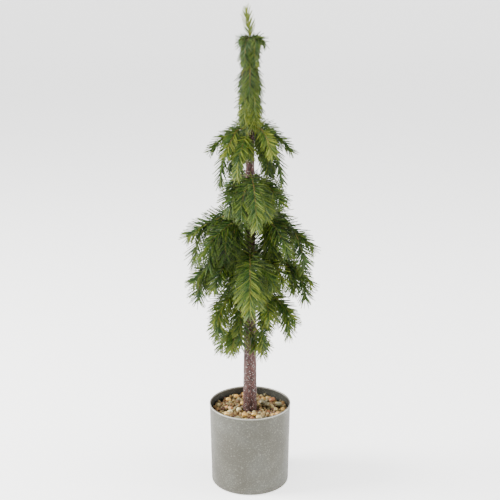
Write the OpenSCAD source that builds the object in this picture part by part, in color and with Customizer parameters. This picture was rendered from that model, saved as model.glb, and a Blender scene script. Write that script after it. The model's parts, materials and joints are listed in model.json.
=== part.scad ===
// Potted artificial fir, tabletop size.
// The origin is the centre of the pot's underside, +Z is up and -Y is the front.

/* [Pot] */
// Height of the pot
pot_height = 130; // [90:1:180]
// Outside diameter at the rim
pot_rim_d = 125; // [100:1:160]
// Outside diameter at the foot
pot_base_d = 120; // [95:1:160]
// Thickness of the pot's wall and floor
pot_wall = 1.6; // [1:0.1:3]
// Radius of the rounded edge at the foot
pot_corner = 3; // [2:0.5:4]
// Radius of the rolled bead around the rim
rim_bead = 1.2; // [1:0.1:2]

/* [Filling] */
// Height of the cement weight in the pot
ballast_height = 46; // [30:1:60]
// Distance from the rim down to the top of the gravel at its edge
gravel_drop = 12; // [6:1:20]
// Depth of the gravel with the glue under it
gravel_depth = 24; // [18:1:32]
// Thickness of the glue at the pot's wall
glue_edge = 4; // [2:1:8]
// How much higher the glue stands at the trunk
glue_mound = 5; // [0:1:8]
// Number of pebbles
pebble_count = 136; // [60:1:160]
// Radius of the smallest and the largest pebble
pebble_r = [4.2, 6.2]; // [3:0.1:7]

/* [Trunk] */
// Height of the trunk's top above the gravel
trunk_up = 572; // [520:1:700]
// Diameter of the trunk at the gravel
trunk_base_d = 20; // [14:0.5:24]
// Diameter of the trunk at its top
trunk_top_d = 9.2; // [7.5:0.1:12]
// How far the foot of the trunk spreads out
flare = 2; // [1:0.5:4]
// Height of the spread foot
flare_height = 14; // [8:1:24]
// Diameter of the steel rod inside the trunk
core_d = 5; // [4:0.1:6]
// Distance from the pot's underside to the foot of the rod
core_foot = 10; // [6:1:16]
// Diameter of the bar that keys the rod in the cement
anchor_d = 2.4; // [1.5:0.1:3]
// Length of that bar
anchor_length = 50; // [20:1:80]
// Distance from the foot of the rod to the bar
anchor_up = 12; // [6:1:24]

/* [Branches] */
// Height of each tier of branches above the gravel
tier_up = [146, 202, 260, 318, 368, 444]; // [100:1:600]
// Diameter of a branch's stem
wire_d = 2.4; // [1.6:0.1:3]
// Diameter of a side twig
twig_d = 2; // [1.2:0.1:3]
// Length of a side twig's bare part
twig_length = 14; // [12:1:20]
// Greatest diameter of a sprig's dense core
sprig_d = 16; // [10:0.5:16]
// Diameter of the peg that roots a branch in the trunk
peg_d = 4.4; // [3.5:0.1:5.5]
// Depth of a peg in the trunk
peg_depth = 2; // [1:0.1:2]
// Distance from the trunk's surface to a branch's bend
bend_out = 4; // [3:0.1:6]
// Diameter of the round knuckle at the bend
knuckle_d = 3.6; // [3:0.1:4.4]
// Length of the knuckle
knuckle_length = 4; // [3:0.1:6]

/* [Column and leader] */
// Distance of each row of bound sprigs below the trunk's top
row_down = [4, 45, 82]; // [0:1:90]
// Number of sprigs in a row
row_count = 5; // [3:1:6]
// Length of a bound sprig
bound_length = 35; // [20:1:36]
// Greatest diameter of a bound sprig's core
bound_d = 9; // [6:0.5:10]
// Diameter of a bound sprig's wire
bound_wire_d = 2.2; // [1.6:0.1:2.6]
// Height of the leader's bend above the trunk's top
leader_up = 5; // [4:0.5:8]
// Length of the leader's bare stem
leader_stem_length = 8; // [6:1:20]
// Length of the leader's needles
leader_length = 40; // [24:1:60]
// Greatest diameter of the leader's core
leader_d = 11; // [8:0.5:16]
// How far the leader leans to the left, in degrees
leader_lean = 10; // [0:1:20]

/* [Fits] */
// Clearance around a piece that stays put
fit_gap = 0.05; // [0.02:0.01:0.1]
// Clearance around a piece that turns
turn_gap = 0.3; // [0.2:0.05:0.5]

/* [Hidden] */
// One row a branch: tier, rise in the tier, azimuth, elevation at the trunk, elevation at the tip,
// stem length, sprig length, spread of the side twigs, and the right and left side sprigs' length
// as a share of the main sprig's, where 0 means that there is no twig on that side.
branches = [
    [5,   0, 194, -14, -58, 13,  56, 50, 0.0, 0.8],
    [5,   0, 346, -14, -56, 13,  60, 50, 0.8, 0.0],
    [5,  -8, 250, -20, -90, 10,  72, 40, 0.0, 0.0],
    [5,   2,  85,   5, -70, 14,  66, 50, 0.8, 0.8],
    [4,   0, 325, -10, -65, 12,  56, 50, 0.0, 0.8],
    [4,  -2, 232, -15, -90, 10,  58, 45, 0.7, 0.0],
    [4,   6, 276,  10, -90, 18, 100, 50, 0.0, 0.0],
    [4,   0,  98,   5, -75, 16,  68, 50, 0.8, 0.7],
    [3,   0, 184,  -8, -46, 20,  82, 42, 0.7, 0.0],
    [3,  -6, 216, -12, -58, 20,  88, 50, 0.0, 0.0],
    [3,  -4, 348,  -8, -56, 24,  84, 42, 0.8, 0.0],
    [3,   0,  58,  10, -70, 20,  76, 45, 0.7, 0.8],
    [2,   0, 270,   5, -90, 26, 106, 50, 0.0, 0.6],
    [2,   0, 112,  10, -75, 20,  70, 45, 0.8, 0.8],
    [2,  -4, 350,  -5, -60, 22,  84, 45, 0.7, 0.7],
    [2,  -4, 196,  -5, -58, 20,  80, 42, 0.7, 0.8],
    [1,   0, 222,  -8, -68, 18,  68, 50, 0.7, 0.0],
    [1,   0, 328, -10, -60, 20,  72, 42, 0.7, 0.0],
    [1,   0,  75,  10, -75, 20,  70, 50, 0.8, 0.8],
    [0,   0, 205, -20, -80, 14,  52, 50, 0.0, 0.8],
    [0, -10, 312, -15, -90, 10,  36, 56, 0.8, 0.0],
];

// Where the side twigs leave the stem, as a share of its length
right_fork = 0.45;
left_fork = 0.7;
// How far a side twig dips along its bare part, and how much lower its tip points
twig_dip = 12;
tip_dip = 8;
// Side sprigs are a little slimmer than the main one
side_slim = 0.9;

sprig_sides = 8;
wire_sides = 6;
// Rings along a sprig, as shares of its length, and the radius there as a share of the greatest
ring_at = [0, 0.15, 0.35, 0.6, 0.8, 0.93];
ring_r = [0.3, 0.7, 1, 0.92, 0.78, 0.5];
wire_steps = 4;
// A bound sprig's wire: straight out of the trunk, then a short bend down
bound_out = 1;
bound_bend = 8;
bound_fall = -86;

// Levels inside the pot
pot_floor = pot_wall;
ballast_top = pot_floor + ballast_height;
gravel_z = pot_height - gravel_drop;
foam_top = gravel_z - gravel_depth;
glue_top = foam_top + glue_edge + glue_mound;
anchor_z = core_foot + anchor_up;

trunk_base_r = trunk_base_d / 2;
trunk_top_r = trunk_top_d / 2;
trunk_top_z = gravel_z + trunk_up;
knuckle_r = knuckle_d / 2;
leader_z = trunk_top_z + leader_up;
// How far a cut runs past a face
cut = 1;
// Bark left between the rod and a peg's or a wire's root
root_bark = 0.4;

// Radii of the pot at a height, and of the trunk at a height
function pot_outer(z) = (pot_base_d + (pot_rim_d - pot_base_d) * z / pot_height) / 2;
function pot_inner(z) = pot_outer(z) - pot_wall;
function filling_r(z) = pot_inner(z) - fit_gap;
function trunk_r(z) = trunk_base_r + (trunk_top_r - trunk_base_r) * (z - gravel_z) / trunk_up;
// Distance from the trunk's axis at which a peg or a wire is rooted
function root_r(z) = max(trunk_r(z) - peg_depth, core_d / 2 + root_bark);

// Height of the glue's surface at a distance from the trunk's axis
function glue_z(r) =
    foam_top + glue_edge + glue_mound
        * (filling_r(foam_top) - r) / (filling_r(foam_top) - trunk_base_r);

// A point on an arc that starts at p, lies in the upright plane of azimuth az and turns from
// elevation e0 to e1 over the given length; t runs from 0 to 1
function arc_point(p, az, e0, e1, length, t) =
    let (e = e0 + (e1 - e0) * t)
    let (turn = (e1 - e0) * PI / 180)
    let (straight = abs(e1 - e0) < 0.01)
    let (u = straight ? length * t * cos(e0) : length * (sin(e) - sin(e0)) / turn)
    let (w = straight ? length * t * sin(e0) : length * (cos(e0) - cos(e)) / turn)
    p + [u * cos(az), u * sin(az), w];

// A station of a tube is [point, elevation, radius]
function arc_stations(p, az, e0, e1, length, r) =
    [for (i = [0:wire_steps])
        let (t = i / wire_steps)
        [arc_point(p, az, e0, e1, length, t), e0 + (e1 - e0) * t, r]];

function sprig_stations(p, az, e0, e1, length, r) =
    [for (i = [0:len(ring_at) - 1])
        let (t = ring_at[i])
        [arc_point(p, az, e0, e1, length, t), e0 + (e1 - e0) * t, r * ring_r[i]]];

// The points of one ring, square to the path
function ring(station, az, sides) =
    let (side = [-sin(az), cos(az), 0])
    let (e = station[1])
    let (up = [-sin(e) * cos(az), -sin(e) * sin(az), cos(e)])
    [for (j = [0:sides - 1])
        let (a = 360 * j / sides)
        station[0] + station[2] * (cos(a) * side + sin(a) * up)];

function wall_faces(rings, sides) =
    [for (i = [0:rings - 2], j = [0:sides - 1], half = [0, 1])
        let (a = i * sides + j)
        let (d = i * sides + (j + 1) % sides)
        half == 0 ? [a, a + sides, d + sides] : [a, d + sides, d]];

// A tube along the stations, with flat ends
module tube(stations, az, sides) {
    rings = len(stations);
    last = (rings - 1) * sides;
    points = [for (s = stations) each ring(s, az, sides)];
    foot = [for (j = [0:sides - 1]) j];
    top = [for (j = [sides - 1:-1:0]) last + j];
    polyhedron(points, concat(wall_faces(rings, sides), [foot], [top]));
}

// A sprig's core: a tube that closes in a point at the tip
module core_of_needles(p, az, e0, e1, length, r) {
    stations = sprig_stations(p, az, e0, e1, length, r);
    rings = len(stations);
    last = (rings - 1) * sprig_sides;
    tip = rings * sprig_sides;
    points = concat([for (s = stations) each ring(s, az, sprig_sides)],
        [arc_point(p, az, e0, e1, length, 1)]);
    foot = [for (j = [0:sprig_sides - 1]) j];
    nose = [for (j = [0:sprig_sides - 1]) [last + j, tip, last + (j + 1) % sprig_sides]];
    polyhedron(points, concat(wall_faces(rings, sprig_sides), [foot], nose));
}

// The parts of a branch's row, by name
function branch_z(b) = gravel_z + tier_up[b[0]] + b[1];
function branch_az(b) = b[2];
function bend_r(b) = trunk_r(branch_z(b)) + bend_out;
function bend_point(b) = [bend_r(b) * cos(b[2]), bend_r(b) * sin(b[2]), branch_z(b)];
function stem_length(b) = b[5];
function sprig_length(b) = b[6];
function spread(b) = b[7];
// Elevation at a share of the stem, and at its end
function stem_e(b, t) = b[3] + (fork_e(b) - b[3]) * t;
function fork_e(b) = b[3] + (b[4] - b[3]) * b[5] / (b[5] + b[6]);
function stem_point(b, t) = arc_point(bend_point(b), b[2], b[3], fork_e(b), b[5], t);

// The side twigs of a branch: [azimuth, fork, share of the main sprig's length]
function twigs(b) =
    [for (t = [[b[2] - spread(b), right_fork, b[8]], [b[2] + spread(b), left_fork, b[9]]])
        if (t[2] > 0) t];

module pot_shell() {
    base_r = pot_base_d / 2;
    color("#9c9c92")
    rotate_extrude($fn = 96) {
        difference() {
            polygon([
                [0, 0],
                [base_r - pot_corner, 0],
                for (a = [-75:15:-15]) pot_corner * [cos(a), sin(a)] + [base_r - pot_corner, pot_corner],
                [pot_outer(pot_corner), pot_corner],
                [pot_outer(pot_height), pot_height - rim_bead],
                [0, pot_height - rim_bead],
            ]);
            polygon([
                [-cut, pot_floor],
                [pot_inner(pot_floor), pot_floor],
                [pot_inner(pot_height), pot_height],
                [-cut, pot_height],
            ]);
        }
        translate([pot_outer(pot_height) - pot_wall / 2, pot_height - rim_bead])
            circle(r = rim_bead, $fn = 24);
    }
}

// A round filling between two heights that follows the pot's taper
module filling(z0, z1) {
    rotate_extrude($fn = 96)
        polygon([[0, z0], [filling_r(z0), z0], [filling_r(z1), z1], [0, z1]]);
}

module ballast_block() {
    color("#a39f96")
    difference() {
        filling(pot_floor + fit_gap, ballast_top);
        translate([0, 0, core_foot - fit_gap])
            cylinder(h = ballast_top, d = core_d + 2 * fit_gap, $fn = 48);
        translate([-anchor_length / 2 - fit_gap, 0, anchor_z])
            rotate([0, 90, 0])
            cylinder(h = anchor_length + 2 * fit_gap, d = anchor_d + 2 * fit_gap, $fn = 32);
    }
}

module foam_disc() {
    color("#5f6b4a")
    difference() {
        filling(ballast_top + fit_gap, foam_top);
        translate([0, 0, ballast_top])
            cylinder(h = foam_top, r = trunk_base_r + fit_gap, $fn = 64);
    }
}

module glue_bed() {
    z0 = foam_top + fit_gap;
    outer = filling_r(foam_top);
    bore = trunk_base_r + fit_gap;
    color("#3a332a")
    rotate_extrude($fn = 96)
        polygon([[bore, z0], [outer, z0], [outer, glue_z(outer)], [bore, glue_z(bore)]]);
}

// Pebbles are dropped one by one, each on the lowest of a few random spots. Inside its round
// clearance each is an uneven, flattened stone, so no two of them share any space.
pebble_seed = 41;
spots = 16;
pebble_clear = 0.4;
pebble_flat = [1, 0.88, 0.72];
pebble_rough = [0.84, 1];
pebble_tilt = 24;
pebble_radius = rands(pebble_r[0], pebble_r[1], pebble_count, pebble_seed);
spot_turn = rands(0, 360, pebble_count * spots, pebble_seed + 1);
spot_share = rands(0, 1, pebble_count * spots, pebble_seed + 2);
pebble_near = trunk_base_r + flare;

// The height at which a stone of radius r rests at x, y on the glue and the stones so far
function rest_z(x, y, r, stones) =
    max(concat([glue_z(norm([x, y])) + r + pebble_clear / 2],
        [for (s = stones)
            let (reach = r + s[3])
            let (d = norm([x - s[0], y - s[1]]))
            if (d < reach) s[2] + sqrt(reach * reach - d * d)]));

function spot(n, r) =
    let (far = pot_inner(foam_top) - r - pebble_clear)
    let (near = pebble_near + r + pebble_clear)
    let (d = sqrt(near * near + (far * far - near * near) * spot_share[n]))
    [d * cos(spot_turn[n]), d * sin(spot_turn[n])];

function lowest(tries) =
    let (z = min([for (t = tries) t[2]]))
    [for (t = tries) if (t[2] == z) t][0];

function dropped(i, stones) =
    let (r = pebble_radius[i])
    lowest([for (k = [0:spots - 1])
        let (p = spot(i * spots + k, r))
        [p[0], p[1], rest_z(p[0], p[1], r, stones), r]]);

function gravel(i = 0, stones = []) =
    i == pebble_count ? stones : gravel(i + 1, concat(stones, [dropped(i, stones)]));

// A stone on twelve corners: two poles and two rings of five
module stone(r, seed) {
    rough = rands(pebble_rough[0], pebble_rough[1], 12, seed);
    turn = rands(-1, 1, 3, seed + 1);
    low = 1 / sqrt(5);
    wide = 2 / sqrt(5);
    corners = concat([[0, 0, 1]],
        [for (i = [0:4]) [wide * cos(72 * i), wide * sin(72 * i), low]],
        [for (i = [0:4]) [wide * cos(72 * i + 36), wide * sin(72 * i + 36), -low]],
        [[0, 0, -1]]);
    points = [for (i = [0:11])
        [for (k = [0:2]) r * rough[i] * pebble_flat[k] * corners[i][k]]];
    faces = [for (i = [0:4]) let (n = (i + 1) % 5) each [
        [0, 1 + n, 1 + i],
        [1 + i, 1 + n, 6 + i],
        [1 + n, 6 + n, 6 + i],
        [11, 6 + i, 6 + n],
    ]];
    rotate([pebble_tilt * turn[0], pebble_tilt * turn[1], 180 * turn[2]])
        polyhedron(points, faces);
}

// The pebbles of one colour, picked by the remainder of each pebble's number over eight
module pebbles(kinds) {
    stones = gravel();
    for (i = [0:pebble_count - 1])
        if (len(search(i % 8, kinds)) > 0)
            translate([stones[i][0], stones[i][1], stones[i][2]])
            stone(stones[i][3], pebble_seed + 10 * i);
}

module pebbles_tan() { color("#b08a5a") pebbles([0, 3, 6]); }
module pebbles_cream() { color("#d8c8a4") pebbles([1, 4]); }
module pebbles_rust() { color("#9a5a38") pebbles([2]); }
module pebbles_grey() { color("#77756a") pebbles([5, 7]); }

module trunk_core() {
    color("#8c8f93")
    difference() {
        translate([0, 0, core_foot])
            cylinder(h = leader_z - core_foot, d = core_d, $fn = 48);
        translate([-core_d, 0, anchor_z])
            rotate([0, 90, 0])
            cylinder(h = 2 * core_d, d = anchor_d + 2 * fit_gap, $fn = 32);
        knuckle_room(leader_z);
    }
}

// The room that the leader's knuckle turns in, at the top of the rod
module knuckle_room(z) {
    translate([0, -core_d, z])
        rotate([-90, 0, 0])
        cylinder(h = 2 * core_d, r = knuckle_r + turn_gap, $fn = 48);
}

module anchor_bar() {
    color("#85888c")
    translate([-anchor_length / 2, 0, anchor_z])
        rotate([0, 90, 0])
        cylinder(h = anchor_length, d = anchor_d, $fn = 32);
}

// A radial hole for a peg or a wire, from its foot inside the trunk outwards
module radial(z, az, r0, r1, d) {
    translate([0, 0, z])
        rotate([0, 0, az])
        translate([r0, 0, 0])
        rotate([0, 90, 0])
        cylinder(h = r1 - r0, d = d, $fn = 32);
}

module trunk_bark() {
    foot_z = ballast_top + fit_gap;
    flare_z = glue_top + fit_gap;
    color("#6e5b53")
    difference() {
        union() {
            translate([0, 0, foot_z])
                cylinder(h = gravel_z - foot_z, r = trunk_base_r, $fn = 64);
            translate([0, 0, gravel_z])
                cylinder(h = trunk_up, r1 = trunk_base_r, r2 = trunk_top_r, $fn = 64);
            translate([0, 0, flare_z])
                cylinder(h = flare_height, r1 = trunk_base_r + flare,
                    r2 = trunk_r(flare_z + flare_height), $fn = 64);
        }
        translate([0, 0, foot_z - cut])
            cylinder(h = trunk_top_z, d = core_d + 2 * fit_gap, $fn = 48);
        for (b = branches)
            radial(branch_z(b), branch_az(b), root_r(branch_z(b)) - fit_gap, bend_r(b),
                peg_d + 2 * fit_gap);
        for (row = [0:len(row_down) - 1], i = [0:row_count - 1])
            radial(row_z(row), row_az(row, i), root_r(row_z(row)) - fit_gap,
                trunk_r(row_z(row)) + bound_out, bound_wire_d + 2 * fit_gap);
    }
}

// A peg with a saddle in its end, in which the branch's knuckle turns
module peg(b) {
    z = branch_z(b);
    difference() {
        radial(z, branch_az(b), root_r(z), bend_r(b), peg_d);
        translate(bend_point(b))
            rotate([0, 0, branch_az(b)])
            rotate([90, 0, 0])
            cylinder(h = 2 * peg_d, r = knuckle_r + turn_gap, center = true, $fn = 48);
    }
}

module branch_pegs() {
    color("#5d4a40")
    for (b = branches)
        peg(b);
}

module knuckle(p, az) {
    translate(p)
        rotate([0, 0, az])
        rotate([90, 0, 0])
        cylinder(h = knuckle_length, d = knuckle_d, center = true, $fn = 48);
}

module branch_stem(b) {
    az = branch_az(b);
    color("#6b5a3a") {
        knuckle(bend_point(b), az);
        tube(arc_stations(bend_point(b), az, b[3], fork_e(b), stem_length(b), wire_d / 2), az,
            wire_sides);
        for (t = twigs(b))
            let (e = stem_e(b, t[1]))
            tube(arc_stations(stem_point(b, t[1]), t[0], e, e - twig_dip, twig_length, twig_d / 2),
                t[0], wire_sides);
    }
}

module branch_needles(b) {
    color("#3f6326") {
        core_of_needles(stem_point(b, 1), branch_az(b), fork_e(b), b[4], sprig_length(b),
            sprig_d / 2);
        for (t = twigs(b))
            let (e = stem_e(b, t[1]))
            let (p = arc_point(stem_point(b, t[1]), t[0], e, e - twig_dip, twig_length, 1))
            core_of_needles(p, t[0], e - twig_dip, b[4] - tip_dip, sprig_length(b) * t[2],
                side_slim * sprig_d / 2);
    }
}

// Rows of sprigs bound against the upper trunk, each turned by half a step from the last
function row_z(row) = trunk_top_z - row_down[row];
function row_az(row, i) = 360 * (i + row / 2) / row_count + 90;
function bound_at(row, az, r) = [r * cos(az), r * sin(az), row_z(row)];
function bound_root(row, az) = bound_at(row, az, root_r(row_z(row)));
function bound_start(row, az) = bound_at(row, az, trunk_r(row_z(row)) + bound_out);

module column_wires() {
    color("#5f5135")
    for (row = [0:len(row_down) - 1], i = [0:row_count - 1])
        let (az = row_az(row, i))
        tube(concat([[bound_root(row, az), 0, bound_wire_d / 2]],
            arc_stations(bound_start(row, az), az, 0, bound_fall, bound_bend, bound_wire_d / 2)),
            az, wire_sides);
}

module column_row(row) {
    color("#4d7529")
    for (i = [0:row_count - 1])
        let (az = row_az(row, i))
        let (p = arc_point(bound_start(row, az), az, 0, bound_fall, bound_bend, 1))
        core_of_needles(p, az, bound_fall, -90, bound_length, bound_d / 2);
}

module column_needles_top() { column_row(0); }
module column_needles_mid() { column_row(1); }
module column_needles_low() { column_row(2); }

// The leader leans to the left, so its path is an arc in the plane of azimuth 180
leader_az = 180;
function leader_point(t) = arc_point([0, 0, leader_z], leader_az, 90, 90 - leader_lean,
    leader_stem_length, t);

module leader_stem() {
    color("#7d7a3c") {
        knuckle([0, 0, leader_z], leader_az);
        tube(arc_stations([0, 0, leader_z], leader_az, 90, 90 - leader_lean, leader_stem_length,
            wire_d / 2), leader_az, wire_sides);
    }
}

module leader_needles() {
    color("#7f9a3a")
    core_of_needles(leader_point(1), leader_az, 90 - leader_lean, 90 - leader_lean / 2,
        leader_length, leader_d / 2);
}

function two_digits(n) = str(n < 10 ? "0" : "", n);
function stem_node(i) = str("branch_", two_digits(i + 1), "_stem");
function needles_node(i) = str("branch_", two_digits(i + 1), "_needles");

pot_shell();
ballast_block();
foam_disc();
glue_bed();
pebbles_tan();
pebbles_cream();
pebbles_rust();
pebbles_grey();
trunk_core();
anchor_bar();
trunk_bark();
branch_pegs();
column_wires();
column_needles_top();
column_needles_mid();
column_needles_low();
leader_stem();
leader_needles();
for (i = [0:len(branches) - 1]) {
    branch_stem(branches[i]);
    branch_needles(branches[i]);
}
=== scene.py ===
import json
import math
import random

import bmesh
import bpy
from mathutils import Matrix, Vector, noise

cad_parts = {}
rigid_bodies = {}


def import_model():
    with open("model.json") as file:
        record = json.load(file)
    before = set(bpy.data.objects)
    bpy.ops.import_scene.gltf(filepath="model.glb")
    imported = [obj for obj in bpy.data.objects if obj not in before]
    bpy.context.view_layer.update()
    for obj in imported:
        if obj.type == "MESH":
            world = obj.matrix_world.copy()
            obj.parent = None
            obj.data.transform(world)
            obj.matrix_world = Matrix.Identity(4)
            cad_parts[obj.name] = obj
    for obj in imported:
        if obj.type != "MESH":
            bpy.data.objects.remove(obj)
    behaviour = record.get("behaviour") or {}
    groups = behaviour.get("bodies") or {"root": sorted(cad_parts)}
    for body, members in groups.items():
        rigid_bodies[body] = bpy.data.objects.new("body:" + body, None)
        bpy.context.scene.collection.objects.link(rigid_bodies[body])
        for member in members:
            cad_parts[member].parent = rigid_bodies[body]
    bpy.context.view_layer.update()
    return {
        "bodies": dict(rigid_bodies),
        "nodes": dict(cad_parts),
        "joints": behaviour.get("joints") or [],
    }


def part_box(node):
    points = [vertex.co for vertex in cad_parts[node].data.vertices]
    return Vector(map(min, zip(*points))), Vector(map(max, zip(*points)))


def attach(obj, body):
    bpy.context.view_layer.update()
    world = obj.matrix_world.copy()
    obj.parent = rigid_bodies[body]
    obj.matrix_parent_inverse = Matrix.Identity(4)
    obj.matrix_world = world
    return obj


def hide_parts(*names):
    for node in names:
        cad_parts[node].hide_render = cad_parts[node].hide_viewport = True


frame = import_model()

mm = 0.001
nodes = frame["nodes"]
joints = {j["child"]: j for j in frame["joints"]}


def link(name, data):
    obj = bpy.data.objects.new(name, data)
    bpy.context.scene.collection.objects.link(obj)
    return obj


def smooth(obj):
    for p in obj.data.polygons:
        p.use_smooth = True


def newMaterial(name, **sockets):
    mat = bpy.data.materials.new(name)
    mat.use_nodes = True
    shader = mat.node_tree.nodes["Principled BSDF"]
    for key, value in sockets.items():
        shader.inputs[key.replace("_", " ")].default_value = value
    return mat, mat.node_tree


def feed(mat, **sockets):
    # links colors, roughness and normals into the material's shader
    shader = mat.node_tree.nodes["Principled BSDF"]
    for key, value in sockets.items():
        mat.node_tree.links.new(value, shader.inputs[key.replace("_", " ")])
    return mat


studio = {
    "cameraPlace": (0.0, -1.711, 0.903),
    "cameraPitch": 17.1,  # degrees down from level
    "lens": 86.4,
    "aim": (0.0, 0.0, 0.35),  # the lamps point at the middle of the tree
    # name, place, size, power and color
    "lamps": (
        ("keyLight", (-2.1, -0.15, 1.4), 0.9, 165.0, (1.0, 0.99, 0.97)),
        ("fillLight", (2.1, -0.2, 1.0), 1.0, 52.0, (1.0, 0.99, 0.97)),
        ("topLight", (0.1, -0.3, 2.2), 1.2, 50.0, (1.0, 1.0, 1.0)),
    ),
    "worldStrength": 0.36,
    "floorFlat": 5.0,  # radius of the level part
    "sweepRadius": 2.0,  # beyond it the floor curves up, on every side
    "sweepSteps": 8,
    "floorAround": 96,
    "floorColor": (0.92, 0.92, 0.915, 1.0),
    "floorGlow": 1.6,  # some light of its own keeps the floor pale and even
}


def areaLight(name, place, aim, size, power, color):
    data = bpy.data.lights.new(name, "AREA")
    data.shape = "SQUARE"
    data.size = size
    data.energy = power
    data.color = color
    lamp = link(name, data)
    lamp.location = place
    lamp.rotation_euler = (Vector(aim) - Vector(place)).to_track_quat("-Z", "Y").to_euler()


def buildFloor(s):
    flat, bend, around = s["floorFlat"], s["sweepRadius"], s["floorAround"]
    profile = [(flat, 0.0)]
    for k in range(1, s["sweepSteps"] + 1):
        turn = math.radians(90.0 * k / s["sweepSteps"])
        profile.append((flat + bend * math.sin(turn), bend * (1 - math.cos(turn))))
    points = [(0.0, 0.0, 0.0)]
    for radius, height in profile:
        for k in range(around):
            angle = 2 * math.pi * k / around
            points.append((radius * math.cos(angle), radius * math.sin(angle), height))
    faces = [(0, 1 + k, 1 + (k + 1) % around) for k in range(around)]
    for ring in range(len(profile) - 1):
        low, high = 1 + ring * around, 1 + (ring + 1) * around
        for k in range(around):
            n = (k + 1) % around
            faces.append((low + k, high + k, high + n, low + n))
    mesh = bpy.data.meshes.new("floor")
    mesh.from_pydata(points, [], faces)
    mesh.materials.append(newMaterial(
        "paleFloor", Base_Color=s["floorColor"], Roughness=0.9,
        Emission_Color=(1, 1, 1, 1), Emission_Strength=s["floorGlow"],
    )[0])
    floor = link("floor", mesh)
    smooth(floor)


def buildStudio(s):
    data = bpy.data.cameras.new("camera")
    data.lens = s["lens"]
    data.sensor_width = 36
    data.clip_end = 50
    cam = link("camera", data)
    cam.location = s["cameraPlace"]
    cam.rotation_euler = (math.radians(90 - s["cameraPitch"]), 0, 0)
    bpy.context.scene.camera = cam
    for name, place, size, power, color in s["lamps"]:
        areaLight(name, place, s["aim"], size, power, color)
    world = bpy.data.worlds.new("studioWorld")
    bpy.context.scene.world = world
    world.use_nodes = True
    sky = world.node_tree.nodes["Background"]
    sky.inputs["Color"].default_value = (1, 1, 1, 1)
    sky.inputs["Strength"].default_value = s["worldStrength"]
    buildFloor(s)


buildStudio(studio)
print("studio ready")


def put(tree, kind, props=None, inputs=None):
    # one node, with its properties set and its inputs either linked or given a value
    n = tree.nodes.new(kind)
    for key, value in (props or {}).items():
        setattr(n, key, value)
    for key, value in (inputs or {}).items():
        if isinstance(value, bpy.types.NodeSocket):
            tree.links.new(value, n.inputs[key])
        else:
            n.inputs[key].default_value = value
    return n


def calc(tree, op, a, b=0.0, clamp=False):
    return put(tree, "ShaderNodeMath", {"operation": op, "use_clamp": clamp}, {0: a, 1: b}).outputs[0]


def times(tree, a, b, clamp=False):
    return calc(tree, "MULTIPLY", a, b, clamp)


def plus(tree, a, b, clamp=False):
    return calc(tree, "ADD", a, b, clamp)


def minus(tree, a, b, clamp=False):
    return calc(tree, "SUBTRACT", a, b, clamp)


def power(tree, a, b):
    return calc(tree, "POWER", a, b)


def blendTo(tree, share, a, b):
    # a float that goes from a to b with share
    return put(tree, "ShaderNodeMix", {"data_type": "FLOAT"}, {0: share, 2: a, 3: b}).outputs[0]


def joined(tree, x, y, z):
    return put(tree, "ShaderNodeCombineXYZ", None, {0: x, 1: y, 2: z}).outputs[0]


def randomFloat(tree, low, high, seed):
    n = put(tree, "FunctionNodeRandomValue", {"data_type": "FLOAT"}, {2: low, 3: high, "Seed": seed})
    return n.outputs[1]


def storeFloat(tree, geometry, label, value, domain="POINT"):
    return put(tree, "GeometryNodeStoreNamedAttribute", {"data_type": "FLOAT", "domain": domain}, {
        "Geometry": geometry, "Name": label, "Value": value,
    }).outputs[0]


def stored(tree, label, kind="FLOAT"):
    return put(tree, "GeometryNodeInputNamedAttribute", {"data_type": kind}, {"Name": label}).outputs[0]


def newTree(name, inputs):
    tree = bpy.data.node_groups.new(name, "GeometryNodeTree")
    face = tree.interface
    kinds = {"Geometry": "Geometry", "Seed": "Int", "Material": "Material"}
    for label in ("Geometry", *inputs):
        kind = kinds.get(label, "Float")
        face.new_socket(label, in_out="INPUT", socket_type="NodeSocket" + kind)
    face.new_socket("Geometry", in_out="OUTPUT", socket_type="NodeSocketGeometry")
    return tree, tree.nodes.new("NodeGroupInput").outputs, tree.nodes.new("NodeGroupOutput").inputs


def scatter(tree, given):
    return put(tree, "GeometryNodeDistributePointsOnFaces", {"distribute_method": "RANDOM"}, {
        "Mesh": given["Geometry"], "Density": given["Density"], "Seed": given["Seed"],
    }).outputs


def realized(tree, geometry):
    return put(tree, "GeometryNodeRealizeInstances", None, {0: geometry}).outputs[0]


def closeTree(tree, geometry, given, out):
    # the last step of every tree: its material, then the way out
    painted = put(tree, "GeometryNodeSetMaterial", None, {
        "Geometry": geometry, "Material": given["Material"],
    })
    tree.links.new(painted.outputs[0], out[0])
    return tree


def grow(source, tree, settings, name):
    # runs a geometry tree on a source mesh and gives back a plain mesh object
    mod = source.modifiers.new("grow", "NODES")
    mod.node_group = tree
    ids = {s.name: s.identifier for s in tree.interface.items_tree if s.in_out == "INPUT"}
    for label, value in settings.items():
        mod[ids[label]] = value
    deps = bpy.context.evaluated_depsgraph_get()
    ready = source.evaluated_get(deps)
    mesh = bpy.data.meshes.new_from_object(ready, preserve_all_data_layers=True, depsgraph=deps)
    source.modifiers.clear()
    bpy.data.objects.remove(source)
    mesh.name = name
    return link(name, mesh)


def solidMesh(bm, name, *materials):
    mesh = bpy.data.meshes.new(name)
    bm.to_mesh(mesh)
    bm.free()
    for material in materials:
        mesh.materials.append(material)
    return mesh


def mergedCopy(node):
    # a CAD node's loose triangles, joined at their corners
    bm = bmesh.new()
    bm.from_mesh(nodes[node].data)
    bmesh.ops.remove_doubles(bm, verts=bm.verts, dist=0.00002)
    return bm


def islands(bm):
    left = set(bm.verts)
    found = []
    while left:
        seed = min(left, key=lambda v: v.index)
        part, edge = {seed}, [seed]
        while edge:
            v = edge.pop()
            for e in v.link_edges:
                o = e.other_vert(v)
                if o not in part:
                    part.add(o)
                    edge.append(o)
        left -= part
        found.append(sorted(part, key=lambda v: v.index))
    return found


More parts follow.
